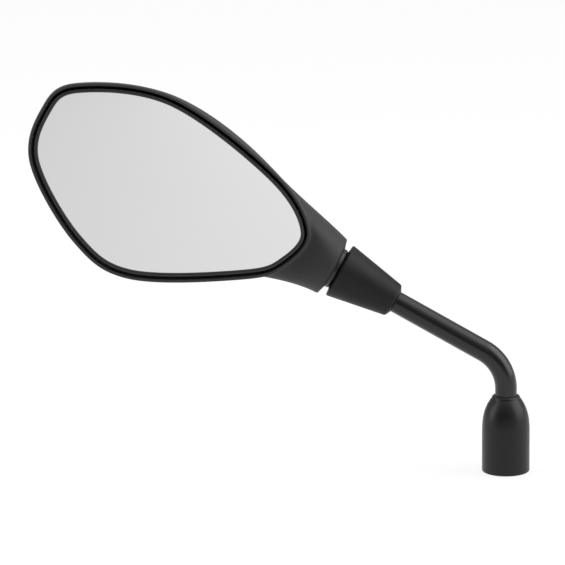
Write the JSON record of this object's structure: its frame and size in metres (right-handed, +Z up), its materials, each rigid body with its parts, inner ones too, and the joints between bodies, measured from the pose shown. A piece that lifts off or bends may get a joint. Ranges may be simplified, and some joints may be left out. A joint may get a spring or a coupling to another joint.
{
  "type": "motorcycle mirror",
  "caption": "Rider's mirror with an angular oval glass in a moulded shell, ball jointed on a bent rod that ends in a threaded stud under a rubber boot",
  "frame": {"origin": "on the stud's axis, in the plane where the washer meets the handlebar clamp", "axes": "+Z up the stud, +X to the right seen from the rider's side, +Y away from the rider"},
  "size_m": [0.2831, 0.0475, 0.2292],
  "materials": {
    "stem_rod": "semi-gloss black paint on steel",
    "lock_nut": "zinc-plated steel",
    "nut_washer": "zinc-plated steel",
    "rubber_boot": "satin black rubber",
    "ball_stud": "turned steel, ball polished and greased",
    "stud_lock_washer": "spring steel",
    "cone_cover": "satin black moulded plastic",
    "seal_ring": "black rubber",
    "lower_cup": "natural acetal",
    "upper_cup": "natural acetal",
    "joint_socket": "black-coated die-cast zinc",
    "pressure_cap": "black-coated die-cast zinc",
    "joint_spring": "spring steel wire",
    "clamp_plate": "zinc-plated pressed steel",
    "clamp_screw_upper": "zinc-plated steel",
    "clamp_screw_lower": "zinc-plated steel",
    "housing": "matt grained black plastic",
    "glass_carrier": "satin black plastic",
    "carrier_screw_1": "zinc-plated steel",
    "carrier_screw_2": "zinc-plated steel",
    "carrier_screw_3": "zinc-plated steel",
    "carrier_screw_4": "zinc-plated steel",
    "glass_pad": "black adhesive foam",
    "mirror_glass": "silvered glass"
  },
  "bodies": {
    "stem": {"stem_rod": "stem_rod", "ball_stud": "ball_stud", "stud_lock_washer": "stud_lock_washer", "cone_cover": "cone_cover", "seal_ring": "seal_ring"},
    "boot": {"rubber_boot": "rubber_boot"},
    "washer": {"nut_washer": "nut_washer"},
    "nut": {"lock_nut": "lock_nut"},
    "crown": {"upper_cup": "upper_cup"},
    "cup": {"lower_cup": "lower_cup"},
    "head": {"housing": "housing", "joint_socket": "joint_socket", "pressure_cap": "pressure_cap", "joint_spring": "joint_spring", "clamp_plate": "clamp_plate", "clamp_screw_upper": "clamp_screw_upper", "clamp_screw_lower": "clamp_screw_lower", "glass_carrier": "glass_carrier", "carrier_screw_1": "carrier_screw_1", "carrier_screw_2": "carrier_screw_2", "carrier_screw_3": "carrier_screw_3", "carrier_screw_4": "carrier_screw_4", "glass_pad": "glass_pad", "mirror_glass": "mirror_glass"}
  },
  "joints": [
    {"name": "head_yaw", "type": "hinge", "parent": "stem", "child": "crown", "pos_m": [-0.10685, 0.01029, 0.10002], "axis": [0.4795, -0.0462, 0.8763], "range_deg": [-10, 10]},
    {"name": "head_pitch", "type": "hinge", "parent": "crown", "child": "cup", "pos_m": [-0.10685, 0.01029, 0.10002], "axis": [0.0958, 0.9954, 0], "range_deg": [-10, 10]},
    {"name": "head_roll", "type": "hinge", "parent": "cup", "child": "head", "pos_m": [-0.10685, 0.01029, 0.10002], "axis": [-0.8723, 0.084, 0.4818], "continuous": true},
    {"name": "nut_travel", "type": "slide", "parent": "stem", "child": "washer", "axis": [0, 0, 1], "range_m": [-0.0175, 0.002]},
    {"name": "nut_turn", "type": "hinge", "parent": "washer", "child": "nut", "pos_m": [0, 0, 0.0046], "axis": [0, 0, 1], "range_deg": [-5040, 576]},
    {"name": "boot_lift", "type": "slide", "parent": "stem", "child": "boot", "axis": [0, 0, 1], "range_m": [0, 0.0035]}
  ],
  "couplings": [
    {"joint": "nut_travel", "follows": "nut_turn", "m_per_rad": 0.00019894}
  ]
}
